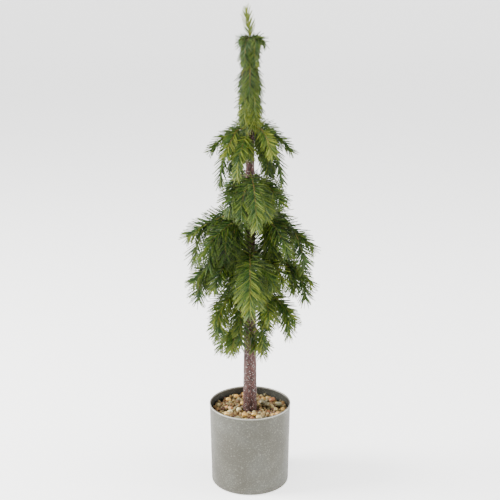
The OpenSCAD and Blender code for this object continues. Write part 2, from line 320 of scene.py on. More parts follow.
def dress(node, material):
    obj = nodes[node]
    obj.data.materials.clear()
    obj.data.materials.append(material)
    for p in obj.data.polygons:
        p.material_index = 0


def objectPlace(tree):
    return put(tree, "ShaderNodeTexCoord").outputs["Object"]


def vertexValue(tree, label):
    return put(tree, "ShaderNodeAttribute", {"attribute_name": label}).outputs["Fac"]


def speckle(tree, place, scale, detail=4.0, rough=0.6, distortion=0.0):
    return put(tree, "ShaderNodeTexNoise", None, {
        "Vector": place, "Scale": scale, "Detail": detail, "Roughness": rough, "Distortion": distortion,
    }).outputs["Fac"]


def ramp(tree, share, stops):
    r = put(tree, "ShaderNodeValToRGB", None, {"Fac": share})
    band = r.color_ramp
    while len(band.elements) < len(stops):
        band.elements.new(0.5)
    for e, (at, color) in zip(band.elements, stops):
        e.position = at
        e.color = (*color, 1.0)
    return r.outputs["Color"]


def mixColor(tree, share, a, b):
    return put(tree, "ShaderNodeMix", {"data_type": "RGBA"}, {0: share, 6: a, 7: b}).outputs[2]


def bump(tree, height, strength, distance, under=None):
    inputs = {"Height": height, "Strength": strength, "Distance": distance}
    if under is not None:
        inputs["Normal"] = under
    return put(tree, "ShaderNodeBump", None, inputs).outputs["Normal"]


needleLook = {
    "dark": (0.003, 0.013, 0.002),
    "deep": (0.006, 0.034, 0.003),
    "middle": (0.02, 0.064, 0.003),
    "fresh": (0.066, 0.103, 0.005),
    "pale": (0.17, 0.2, 0.016),
}


def needleMaterial(c):
    # u holds the needle's tint and v runs along it, so the colour depends on nothing else
    mat, tree = newMaterial("firNeedle", Roughness=0.42, Specular_IOR_Level=0.35)
    uv = put(tree, "ShaderNodeUVMap", {"uv_map": "OFBake"}).outputs["UV"]
    parts = put(tree, "ShaderNodeSeparateXYZ", None, {0: uv}).outputs
    body = ramp(tree, parts[0], [
        (0.0, c["dark"]), (0.25, c["deep"]), (0.5, c["middle"]), (0.78, c["fresh"]), (1.0, c["pale"]),
    ])
    tip = power(tree, parts[1], 3.0)
    lit = mixColor(tree, times(tree, tip, 0.35), body, (*c["pale"], 1.0))
    # painted shade: each needle darkens towards its root, beside the twig, where the needles crowd and shade
    # one another
    root = minus(tree, 1.0, times(tree, parts[1], 5.0, clamp=True))
    shade = mixColor(tree, times(tree, root, 0.45), lit, (0.06, 0.07, 0.02, 1.0))
    return feed(mat, Base_Color=shade)


def stemMaterial(name, old, young):
    mat, tree = newMaterial(name, Roughness=0.6, Specular_IOR_Level=0.3)
    place = objectPlace(tree)
    patch = speckle(tree, place, 60.0, 3.0)
    grain = speckle(tree, place, 900.0, 3.0)
    color = ramp(tree, patch, [(0.3, old), (0.7, young)])
    shade = tuple(0.45 * k for k in old)
    dark = mixColor(tree, times(tree, grain, 0.5), color, (*shade, 1.0))
    return feed(mat, Base_Color=dark, Normal=bump(tree, grain, 0.5, 0.3 * mm))


def barkMaterial():
    # purple-brown moulded bark: painted shade makes it darker in its hollows; it is greyer and paler where
    # it stands proud
    mat, tree = newMaterial("trunkBark", Roughness=0.7, Specular_IOR_Level=0.35)
    place = objectPlace(tree)
    tall = put(tree, "ShaderNodeMapping", None, {"Vector": place, "Scale": (1.0, 1.0, 0.35)}).outputs[0]
    height = vertexValue(tree, "ridge")
    streak = speckle(tree, tall, 420.0, 5.0, 0.7)
    grain = speckle(tree, place, 1500.0, 3.0, 0.6)
    # painted shade: the ramp on the ridge height takes the hollows nearly to black
    base = ramp(tree, height, [
        (0.0, (0.006, 0.0015, 0.001)), (0.35, (0.026, 0.008, 0.006)),
        (0.62, (0.053, 0.018, 0.015)), (1.0, (0.13, 0.058, 0.05)),
    ])
    mixed = mixColor(tree, times(tree, streak, 0.55), base, (0.052, 0.02, 0.015, 1.0))
    dust = times(tree, minus(tree, grain, 0.56, clamp=True), 6.0, clamp=True)
    color = mixColor(tree, dust, mixed, (0.22, 0.15, 0.14, 1.0))
    fine = bump(tree, grain, 0.5, 0.3 * mm)
    return feed(mat, Base_Color=color, Normal=bump(tree, streak, 0.7, 0.6 * mm, fine))


def glitterMaterial():
    mat, tree = newMaterial("glitterFleck", Roughness=0.25, Specular_IOR_Level=0.8)
    pick = speckle(tree, objectPlace(tree), 300.0, 1.0)
    color = ramp(tree, pick, [(0.35, (0.55, 0.5, 0.46)), (0.6, (0.86, 0.84, 0.8))])
    return feed(mat, Base_Color=color)


def zincMaterial(name, shadedInside):
    # old zinc: cloudy cool and warm patches, a fine raised grain in crossing rows, bare edges
    mat, tree = newMaterial(name, Metallic=0.4, Specular_IOR_Level=0.4)
    place = objectPlace(tree)
    cloud = speckle(tree, place, 17.0, 4.0, 0.55, 0.4)
    blotch = speckle(tree, place, 75.0, 5.0, 0.65)
    grain = speckle(tree, place, 430.0, 3.0, 0.65)
    wrap = put(tree, "ShaderNodeUVMap", {"uv_map": "potWrap"}).outputs["UV"]
    rows = []
    for turn, scale in ((0.0, 165.0), (math.pi / 2, 150.0)):
        lay = put(tree, "ShaderNodeMapping", None, {"Vector": wrap, "Rotation": (0, 0, turn)}).outputs[0]
        wave = put(tree, "ShaderNodeTexWave", {"bands_direction": "X"}, {
            "Vector": lay, "Scale": scale, "Distortion": 3.0, "Detail": 2.0, "Detail Scale": 1.6,
        })
        rows.append(wave.outputs["Fac"])
    net = times(tree, rows[0], rows[1])
    # painted shade: the inside copy of the zinc takes darker colours, standing in for the shade inside the
    # pot
    if shadedInside:
        base = ramp(tree, cloud, [(0.3, (0.018, 0.019, 0.014)), (0.7, (0.045, 0.044, 0.034))])
    else:
        base = ramp(tree, cloud, [
            (0.3, (0.044, 0.04, 0.028)), (0.5, (0.063, 0.06, 0.045)), (0.7, (0.09, 0.092, 0.078)),
        ])
    patchy = mixColor(tree, times(tree, blotch, 0.4), base, (0.075, 0.074, 0.06, 1.0))
    pits = times(tree, minus(tree, 0.52, grain, clamp=True), 3.2, clamp=True)
    pitted = mixColor(tree, pits, patchy, (0.05, 0.05, 0.042, 1.0))
    crest = times(tree, minus(tree, grain, 0.55, clamp=True), 3.4, clamp=True)
    knots = plus(tree, times(tree, net, 0.2), crest, clamp=True)
    grainy = mixColor(tree, times(tree, knots, 0.6), pitted, (0.31, 0.305, 0.265, 1.0))
    worn = vertexValue(tree, "wear")
    edge = times(tree, worn, plus(tree, blotch, 0.35, clamp=True), clamp=True)
    color = mixColor(tree, edge, grainy, (0.46, 0.45, 0.4, 1.0))
    rough = put(tree, "ShaderNodeMapRange", None, {0: blotch, 3: 0.4, 4: 0.62}).outputs[0]
    small = bump(tree, grain, 0.5, 0.35 * mm)
    return feed(mat, Base_Color=color, Roughness=rough, Normal=bump(tree, net, 0.4, 0.3 * mm, small))


def pebbleMaterial(name, stops, gloss):
    mat, tree = newMaterial(name, Specular_IOR_Level=0.5, Coat_Weight=gloss, Coat_Roughness=0.25)
    place = objectPlace(tree)
    own = vertexValue(tree, "stone")
    vein = speckle(tree, place, 240.0, 5.0, 0.65, 1.2)
    grain = speckle(tree, place, 1400.0, 4.0, 0.7)
    share = plus(tree, times(tree, own, 0.65), times(tree, vein, 0.38), clamp=True)
    body = ramp(tree, share, stops)
    color = mixColor(tree, times(tree, grain, 0.2), body, (0.14, 0.09, 0.04, 1.0))
    rough = put(tree, "ShaderNodeMapRange", None, {0: grain, 3: 0.3, 4: 0.6}).outputs[0]
    pits = bump(tree, grain, 0.5, 0.3 * mm)
    return feed(mat, Base_Color=color, Roughness=rough, Normal=bump(tree, vein, 0.5, 0.8 * mm, pits))


def grainyMaterial(name, low, high, scale, roughness, depth, metal=0.0):
    mat, tree = newMaterial(name, Roughness=roughness, Metallic=metal)
    place = objectPlace(tree)
    cloud = speckle(tree, place, scale, 5.0, 0.65)
    grain = speckle(tree, place, scale * 9, 3.0)
    body = ramp(tree, cloud, [(0.3, low), (0.7, high)])
    color = mixColor(tree, times(tree, grain, 0.3), body, (*low, 1.0))
    return feed(mat, Base_Color=color, Normal=bump(tree, grain, 0.6, depth))


needleMat = needleMaterial(needleLook)
stemMat = stemMaterial("branchStem", (0.13, 0.075, 0.025), (0.27, 0.2, 0.05))
youngMat = stemMaterial("youngStem", (0.2, 0.2, 0.05), (0.34, 0.33, 0.08))
barkMat = barkMaterial()
glitterMat = glitterMaterial()
zincMat = zincMaterial("zincOutside", False)
# the darker inside zinc is painted shade: one material, lit and shaded in two copies
zincShadedInsideMat = zincMaterial("zincInside", True)
cementMat = grainyMaterial("cement", (0.22, 0.21, 0.19), (0.4, 0.39, 0.35), 90.0, 0.85, 0.5 * mm)
foamMat = grainyMaterial("dryFoam", (0.07, 0.1, 0.05), (0.15, 0.19, 0.1), 160.0, 0.9, 0.4 * mm)
glueMat = grainyMaterial("glueBed", (0.02, 0.014, 0.008), (0.075, 0.05, 0.025), 120.0, 0.35, 0.6 * mm)
steelMat = grainyMaterial("rodSteel", (0.35, 0.35, 0.36), (0.5, 0.5, 0.5), 300.0, 0.35, 0.05 * mm, 1.0)
print("materials ready")


for node, material in {
    "ballast_block": cementMat, "foam_disc": foamMat, "glue_bed": glueMat, "trunk_core": steelMat,
    "anchor_bar": steelMat, "branch_pegs": stemMat, "column_wires": stemMat, "leader_stem": youngMat,
}.items():
    dress(node, material)
for node in nodes:
    if node.startswith("branch_") and node.endswith("_stem"):
        dress(node, stemMat)


pot = {
    "around": 192,
    "upSteps": 84,
    "wall": 1.6,
    "rimInset": 0.4,  # the sheet lies a little inside the widest part of the rim
    "taper": 2.5,  # how much smaller the foot's radius is
    "footRings": (0.0, 12.0, 24.0, 36.0, 46.0, 53.0),
    "cornerRadius": 3.0,
    "rimBead": 1.0,
    "beadGap": 1.6,
    # inside, how far below the bead and how far in from the rim's wall
    "insideLine": ((2.0, 0.0), (12.0, 0.2), (30.0, 0.6)),
    "footInside": 30.0,
    "dentSize": 19.0,
    "dentDepth": 0.22,  # slow unevenness of the sheet
    "hammerSize": 2.6,
    "hammerDepth": 0.07,  # fine raised grain
    "wearRise": 0.6,
    "rimWear": 1.3,  # height of the bright band round the rim
    "footWear": 2.5,
    "footWearShare": 0.45,
    "wrapRadius": 62.5,
}


def arc(middleR, middleZ, radius, degrees):
    return [
        (middleR + radius * math.cos(math.radians(a)), middleZ + radius * math.sin(math.radians(a)))
        for a in degrees
    ]


def potProfile(p):
    # outside from the middle of the foot up, over the bead, and down the inside, in mm
    low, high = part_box("pot_shell")
    rimR = (high.x - low.x) / 2 / mm - p["rimInset"]
    baseR = rimR - p["taper"]
    beadTop = high.z / mm - p["rimBead"]
    corner, wall, steps = p["cornerRadius"], p["wall"], p["upSteps"]
    line = [(r, 0.0) for r in (*p["footRings"], baseR - corner)]
    line += arc(baseR - corner, corner, corner, (-68, -45, -22, 0))
    sideTop = beadTop - p["beadGap"]
    line += [
        (baseR + (rimR - baseR) * k / steps, corner + (sideTop - corner) * k / steps)
        for k in range(1, steps + 1)
    ]
    outside = len(line)
    line += arc(rimR - wall / 2, beadTop, p["rimBead"], range(-30, 91, 24))
    crest = len(line) - 1
    line += arc(rimR - wall / 2, beadTop, p["rimBead"], range(114, 211, 24))
    line += [(rimR - wall - inset, beadTop - depth) for depth, inset in p["insideLine"]]
    line += [(baseR - wall, wall + 2), (baseR - wall - 2, wall), (p["footInside"], wall), (0.0, wall)]
    return line, outside, crest


def buildPot(p):
    line, outside, crest = potProfile(p)
    around = p["around"]
    bm = bmesh.new()
    wrap = bm.loops.layers.uv.new("potWrap")
    wear = bm.verts.layers.float.new("wear")
    bright = line[outside][1] + p["wearRise"]
    rings = []
    for k, (r, z) in enumerate(line):
        if r == 0:
            rings.append([bm.verts.new((0, 0, z * mm))])
            continue
        ring = []
        for j in range(around):
            a = 2 * math.pi * j / around
            way = Vector((math.cos(a), math.sin(a), 0))
            push = 0.0
            if len(p["footRings"]) < k < outside:
                spot = way * r + Vector((0, 0, z))
                push = p["dentDepth"] * noise.noise(spot / p["dentSize"])
                push += p["hammerDepth"] * noise.noise(spot / p["hammerSize"])
            v = bm.verts.new((way * (r + push) + Vector((0, 0, z))) * mm)
            nearTop = max(0.0, 1 - abs(z - bright) / p["rimWear"])
            nearFoot = max(0.0, 1 - z / p["footWear"]) * p["footWearShare"]
            v[wear] = max(nearTop, nearFoot if k <= outside else 0.0)
            ring.append(v)
        rings.append(ring)
    for k in range(len(rings) - 1):
        a, b = rings[k], rings[k + 1]
        for j in range(around):
            n = (j + 1) % around
            corners = [a[j % len(a)], a[n % len(a)], b[n % len(b)], b[j % len(b)]]
            f = bm.faces.new(list(dict.fromkeys(corners)))
            f.smooth = True
            # faces past the bead's crest take the inside zinc, with its painted shade
            f.material_index = 1 if k >= crest else 0
            for loop in f.loops:
                c = loop.vert.co
                turn = math.atan2(c.y, c.x)
                if j >= around / 2 and turn <= 0:
                    turn += 2 * math.pi
                loop[wrap].uv = (turn * p["wrapRadius"] * mm, c.z)
    bmesh.ops.recalc_face_normals(bm, faces=bm.faces)
    obj = link("zinc_pot", solidMesh(bm, "zincPot", zincMat, zincShadedInsideMat))
    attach(obj, "potted_trunk")
    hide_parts("pot_shell")


buildPot(pot)
print("pot done")


gravel = {
    "grow": 1.1,
    "bevel": 0.75,
    "longEdge": 2.2,  # edges longer than this are cut in two
    "lumpSize": 2.6,
    "lumpDepth": 0.42,
    "seed": 7,
}
# slot, gloss, and the colors from a stone's dark parts to its pale ones
pebbleColors = {
    "pebbles_tan": ("pebble_tan", 0.25, (
        (0.1, (0.27, 0.13, 0.025)), (0.5, (0.52, 0.3, 0.07)), (0.9, (0.74, 0.48, 0.12)),
    )),
    "pebbles_cream": ("pebble_cream", 0.3, (
        (0.1, (0.42, 0.3, 0.1)), (0.5, (0.66, 0.53, 0.23)), (0.9, (0.86, 0.78, 0.46)),
    )),
    "pebbles_rust": ("pebble_rust", 0.2, (
        (0.1, (0.14, 0.04, 0.012)), (0.5, (0.32, 0.12, 0.035)), (0.9, (0.56, 0.27, 0.1)),
    )),
    "pebbles_grey": ("pebble_grey", 0.2, (
        (0.1, (0.13, 0.115, 0.06)), (0.5, (0.25, 0.22, 0.11)), (0.9, (0.44, 0.42, 0.24)),
    )),
}


def buildPebbles(g):
    picker = random.Random(g["seed"])
    for node, (slotName, gloss, stops) in pebbleColors.items():
        bm = mergedCopy(node)
        stone = bm.verts.layers.float.new("stone")
        for part in islands(bm):
            middle = sum((v.co for v in part), Vector()) / len(part)
            tint = picker.random()
            for v in part:
                v.co = middle + (v.co - middle) * g["grow"]
                v[stone] = tint
        bmesh.ops.bevel(bm, geom=bm.edges, offset=g["bevel"] * mm, segments=2, profile=0.6, affect="EDGES")
        bmesh.ops.triangulate(bm, faces=bm.faces)
        longEdges = [e for e in bm.edges if e.calc_length() > g["longEdge"] * mm]
        bmesh.ops.subdivide_edges(bm, edges=longEdges, cuts=1, use_grid_fill=True)
        bm.normal_update()
        for v in bm.verts:
            v.co += v.normal * g["lumpDepth"] * mm * noise.noise(v.co / (g["lumpSize"] * mm))
        mesh = solidMesh(bm, node + "Stones", pebbleMaterial(node + "Stone", stops, gloss))
        obj = link(node + "_rough", mesh)
        smooth(obj)
        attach(obj, "potted_trunk")
        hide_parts(node)


fines = {
    "density": 62000.0,  # stones to the square metre
    "smallest": 4.6,
    "largest": 8.6,
    "belowRim": 10.5,  # level of the topmost ones
    "heap": 5.0,  # how far the others may lie below them
    "wallGap": 3.6,
    "trunkGap": 2.0,
    "around": 64,
    "seed": 19,
}


def finesMaterial():
    # the same stones as the gravel, broken smaller: each takes its own colour
    mat, tree = newMaterial("gravelFines", Roughness=0.5, Specular_IOR_Level=0.5)
    own = vertexValue(tree, "stone")
    vein = speckle(tree, objectPlace(tree), 320.0, 4.0, 0.65, 0.8)
    body = ramp(tree, own, [
        (0.05, (0.09, 0.03, 0.012)), (0.25, (0.24, 0.12, 0.03)), (0.5, (0.34, 0.22, 0.07)),
        (0.75, (0.13, 0.11, 0.045)), (0.95, (0.48, 0.38, 0.17)),
    ])
    color = mixColor(tree, times(tree, vein, 0.45), body, (0.07, 0.045, 0.02, 1.0))
    return feed(mat, Base_Color=color, Normal=bump(tree, vein, 0.5, 0.6 * mm))


def finesTree():
    # small uneven stones scattered over a ring and turned every way
    labels = ("Density", "Smallest", "Largest", "Heap", "Seed", "Material")
    tree, given, out = newTree("finesScatter", labels)
    seed = given["Seed"]
    down = randomFloat(tree, 0.0, times(tree, given["Heap"], -1.0), plus(tree, seed, 2))
    heaped = put(tree, "GeometryNodeSetPosition", None, {
        "Geometry": scatter(tree, given)["Points"],
        "Offset": joined(tree, 0.0, 0.0, down),
    })
    ball = put(tree, "GeometryNodeMeshUVSphere", None, {"Segments": 8, "Rings": 5, "Radius": 0.5})
    stone = put(tree, "GeometryNodeTransform", None, {
        "Geometry": ball.outputs[0], "Scale": (1.0, 0.8, 0.66),
    })
    turn = put(tree, "FunctionNodeRandomValue", {"data_type": "FLOAT_VECTOR"}, {
        0: (0, 0, 0), 1: (math.pi, math.pi, 2 * math.pi), "Seed": seed,
    }).outputs[0]
    placed = put(tree, "GeometryNodeInstanceOnPoints", None, {
        "Points": heaped.outputs[0], "Instance": stone.outputs[0], "Rotation": turn,
        "Scale": randomFloat(tree, given["Smallest"], given["Largest"], seed),
    })
    tint = randomFloat(tree, 0.0, 1.0, plus(tree, seed, 1))
    inked = storeFloat(tree, placed.outputs[0], "stone", tint, "INSTANCE")
    return closeTree(tree, realized(tree, inked), given, out)


def buildFines(f):
    # they fill the gaps of the gravel on a ring between the trunk and the pot's wall
    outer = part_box("glue_bed")[1].x - f["wallGap"] * mm
    bedHole = min(math.hypot(v.co.x, v.co.y) for v in nodes["glue_bed"].data.vertices)
    inner = bedHole + f["trunkGap"] * mm
    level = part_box("pot_shell")[1].z - f["belowRim"] * mm
    steps = f["around"]
    verts = []
    for r in (inner, outer):
        for k in range(steps):
            a = 2 * math.pi * k / steps
            verts.append((r * math.cos(a), r * math.sin(a), level))
    faces = [(k, steps + k, steps + (k + 1) % steps, (k + 1) % steps) for k in range(steps)]
    ground = bpy.data.meshes.new("finesGround")
    ground.from_pydata(verts, [], faces)
    ground.update()
    stones = grow(link("finesSource", ground), finesTree(), {
        "Density": f["density"], "Smallest": f["smallest"] * mm, "Largest": f["largest"] * mm,
        "Heap": f["heap"] * mm, "Seed": f["seed"], "Material": finesMaterial(),
    }, "gravel_fines")
    smooth(stones)
    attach(stones, "potted_trunk")
    print("fines done:", len(stones.data.polygons), "faces")


buildPebbles(gravel)
buildFines(fines)
print("pebbles done")


trunk = {
    "around": 72,
    "step": 1.5,
    "boreRadius": 3.4,  # points this close to the axis belong to the rod's bore
    "footDrop": 5.0,  # the trunk has narrowed again this far above its widest place
    "buried": 6.0,  # how far the bark goes on below that place
    "ridgeSize": 1.7,
    "ridgeStretch": 0.32,
    "ridgeDepth": 0.75,
    "ridgeLevel": 0.62,  # how high a ridge stands where the bark has the CAD piece's radius
    "lumpSize": 6.0,
    "lumpStretch": 0.6,
    "lumpDepth": 0.35,
    "slimmest": 0.35,  # the ridges of a thin trunk would be this shallow
    "flakeDensity": 75000.0,  # to the square metre
    "flakeSize": 0.95,
    "seed": 11,
}


def barkOutline(t):
    # height and radius of the moulded trunk at four places, read off the CAD piece
    rings = {}
    for v in nodes["trunk_bark"].data.vertices:
        z = round(v.co.z / mm, 1)
        rings[z] = max(rings.get(z, 0.0), math.hypot(v.co.x, v.co.y) / mm)
    outer = sorted((z, r) for z, r in rings.items() if r > t["boreRadius"])
    wide = max(outer, key=lambda s: s[1])
    neck = next(s for s in outer if s[0] > wide[0] + t["footDrop"] and s[1] < wide[1])
    return outer[0], wide, neck, outer[-1]


def buildTrunk(t):
    foot, wide, neck, top = barkOutline(t)

    def radius(z):
        if z < wide[0]:
            return foot[1]
        if z < neck[0]:
            k = (z - wide[0]) / (neck[0] - wide[0])
            return wide[1] + (neck[1] - wide[1]) * math.sin(k * math.pi / 2)
        return neck[1] + (top[1] - neck[1]) * (z - neck[0]) / (top[0] - neck[0])

    z0 = wide[0] - t["buried"]
    levels = int((top[0] - z0) / t["step"])
    bm = bmesh.new()
    ridge = bm.verts.layers.float.new("ridge")
    rings = []
    for k in range(levels + 1):
        z = z0 + (top[0] - z0) * k / levels
        ring = []
        for j in range(t["around"]):
            a = 2 * math.pi * j / t["around"]
            way = Vector((math.cos(a), math.sin(a), 0))
            r = radius(z)
            spot = Vector((way.x * r, way.y * r, z * t["ridgeStretch"]))
            rise = noise.fractal(spot / t["ridgeSize"], 1.0, 2.1, 4)
            lump = noise.noise(Vector((way.x * r, way.y * r, z * t["lumpStretch"])) / t["lumpSize"])
            share = min(1.0, max(0.0, 0.5 + 0.75 * rise + 0.25 * lump))
            slim = t["slimmest"] + (1 - t["slimmest"]) * (r / foot[1])
            push = (share - t["ridgeLevel"]) * t["ridgeDepth"] * slim + lump * t["lumpDepth"] * slim
            v = bm.verts.new((way * (r + push) + Vector((0, 0, z))) * mm)
            v[ridge] = share
            ring.append(v)
        rings.append(ring)
    for k in range(levels):
        for j in range(t["around"]):
            n = (j + 1) % t["around"]
            f = bm.faces.new([rings[k][j], rings[k][n], rings[k + 1][n], rings[k + 1][j]])
            f.smooth = True
    bm.faces.new(list(reversed(rings[0])))
    bm.faces.new(rings[-1])
    obj = link("bark_trunk", solidMesh(bm, "barkTrunk", barkMat))
    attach(obj, "potted_trunk")
    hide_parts("trunk_bark")
    return obj


def flakeTree():
    # flat five-sided flakes scattered over a surface
    tree, given, out = newTree("flakeScatter", ("Density", "Size", "Seed", "Material"))
    spots = scatter(tree, given)
    flake = put(tree, "GeometryNodeMeshCylinder", {"fill_type": "NGON"}, {
        "Vertices": 5, "Radius": 0.5, "Depth": 0.25,
    })
    size = times(tree, randomFloat(tree, 0.35, 1.0, given["Seed"]), given["Size"])
    placed = put(tree, "GeometryNodeInstanceOnPoints", None, {
        "Points": spots["Points"], "Instance": flake.outputs["Mesh"],
        "Rotation": spots["Rotation"], "Scale": size,
    })
    return closeTree(tree, realized(tree, placed.outputs[0]), given, out)


def buildGlitter(t, bark):
    # glitter on the whole of the bark
    flakes = grow(link("glitterGround", bark.data.copy()), flakeTree(), {
        "Density": t["flakeDensity"], "Size": t["flakeSize"] * mm, "Seed": t["seed"],
        "Material": glitterMat,
    }, "bark_glitter")
    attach(flakes, "potted_trunk")


barkObj = buildTrunk(trunk)
buildGlitter(trunk, barkObj)
print("trunk done")


strandStep = 3.0 * mm  # spacing of the points along a strand
sprig = {
    "tipGap": 12.0,  # the twig stops this far before the tips of its last needles
    "twigBack": 11.0,  # how far the needles go down a side twig's bare part
    "twigRadii": (1.15, 0.45),  # at the foot and at the tip
    "roll": 16.0,
    "sideRoll": 45.0,  # sprigs that reach out to a side lie turned by this much
    "innerDip": 16.0,  # how much lower than the branch an added sprig sets off, in degrees
    "turnDip": 0.5,  # and by how much lower again for each degree that it turns away
    "innerFall": -86.0,  # the elevation at which it ends
    "leastArc": 4.0,
    "innerTone": (-0.14, 0.06),
    "seed": 23,
}
# more sprigs on each branch, by its number: turn away from it in degrees, length, and distance from
# the bend in mm
innerSprigs = {
    1: ((38, 30, 3), (28, 78, 11), (60, 36, 2), (75, 32, 6), (48, 60, 5)),
    2: ((-40, 32, 3), (-26, 80, 12), (-62, 36, 2), (-78, 30, 6), (-50, 64, 5)),
    3: ((30, 26, 3), (52, 28, 3), (-50, 34, 5)),
    4: ((-60, 90, 4), (60, 84, 4), (-85, 70, 2), (85, 64, 2), (-40, 80, 6), (40, 80, 6)),
    5: ((-38, 50, 3), (35, 36, 3), (42, 40, 14), (-20, 30, 3)),
    6: ((25, 50, 3), (-46, 40, 8), (48, 60, 3)),
    7: ((-40, 60, 6), (40, 64, 6)),
    8: ((-55, 40, 3), (55, 40, 3)),
    9: ((45, 50, 3), (-45, 44, 3), (38, 52, 24), (-40, 46, 34), (20, 60, 50)),
    10: ((35, 60, 3), (66, 74, 3), (-44, 52, 20), (44, 50, 26), (46, 64, 12), (-16, 50, 46)),
    11: (
        (-45, 54, 3), (-78, 74, 3), (40, 44, 3), (-42, 52, 26), (40, 48, 38), (-60, 62, 12), (-14, 60, 52),
    ),
    12: ((-50, 46, 3), (50, 46, 3), (-40, 46, 24)),
    13: ((-35, 64, 3), (38, 64, 3), (-24, 64, 24), (26, 64, 26)),
    14: ((-50, 46, 3), (50, 46, 3)),
    15: ((-48, 58, 3), (35, 44, 3), (-30, 44, 40), (-72, 66, 6), (-8, 48, 56), (14, 42, 40)),
    16: ((42, 58, 3), (-35, 44, 3), (34, 44, 34), (66, 66, 6), (10, 48, 54), (-14, 42, 40)),
    17: ((36, 60, 3), (-50, 44, 14), (50, 84, 4), (-16, 46, 36), (14, 46, 46)),
    18: ((-36, 60, 3), (40, 36, 3), (46, 44, 18), (-56, 84, 4), (16, 44, 40), (-14, 44, 48)),
    19: ((-55, 42, 3), (55, 42, 3)),
    20: ((-44, 36, 12), (30, 36, 4)),
    21: ((44, 30, 8),),
}
# how fresh, from dark to yellow-green, the needles of each branch are, main sprig first
freshness = {
    1: (0.4, 0.6), 2: (0.38, 0.68), 3: (0.56,), 4: (0.3, 0.35, 0.3),
    5: (0.4, 0.34), 6: (0.32, 0.3), 7: (0.4,), 8: (0.3, 0.3, 0.36),
    9: (0.4, 0.46), 10: (0.34,), 11: (0.36, 0.3), 12: (0.3, 0.34, 0.3),
    13: (0.5, 0.38), 14: (0.34, 0.3, 0.38), 15: (0.44, 0.38, 0.52),
    16: (0.36, 0.32, 0.46), 17: (0.52, 0.5), 18: (0.52, 0.56),
    19: (0.44, 0.4, 0.42), 20: (0.62, 0.58), 21: (0.62, 0.6),
}
branchNeedles = {
    "Spacing": 0.6 * mm, "Width": 2.6 * mm, "Open At Tip": math.radians(30), "Side Pull": 0.7,
    "Bend": 0.04, "Seed": 3,
}
# a height above the pot's foot in mm, and below it the needles' length in mm and opening in degrees
needleTiers = [(280, 20, 50), (340, 21, 52), (460, 24, 54), (520, 21, 50), (600, 19, 46)]
columnNeedles = {
    "Spacing": 0.7 * mm, "Width": 2.3 * mm, "Open At Root": math.radians(50),
    "Open At Tip": math.radians(34), "Side Pull": 0.9, "Bend": -0.04, "Seed": 5,
}
leaderNeedles = {
    "Spacing": 0.55 * mm, "Length": 16 * mm, "Width": 2.2 * mm, "Open At Root": math.radians(46),
    "Open At Tip": math.radians(22), "Side Pull": 0.1, "Bend": 0.04, "Seed": 8,
}


needleShape = {
    "goldenAngle": 2.39996,
    "spinJitter": 0.35,
    "leanJitter": 0.1,
    "closing": 3.5,  # the larger, the later along the twig its needles close
    "upLean": 0.2,  # the needles over and under a twig lie this much closer to it
    "thickness": 0.65,
    "lengths": (0.82, 1.08),
    "widths": (0.85, 1.15),
    "rootLength": 0.7,
    "tipLoss": 0.3,
    "tintSpread": 0.42,
    "tipTint": 0.2,
}


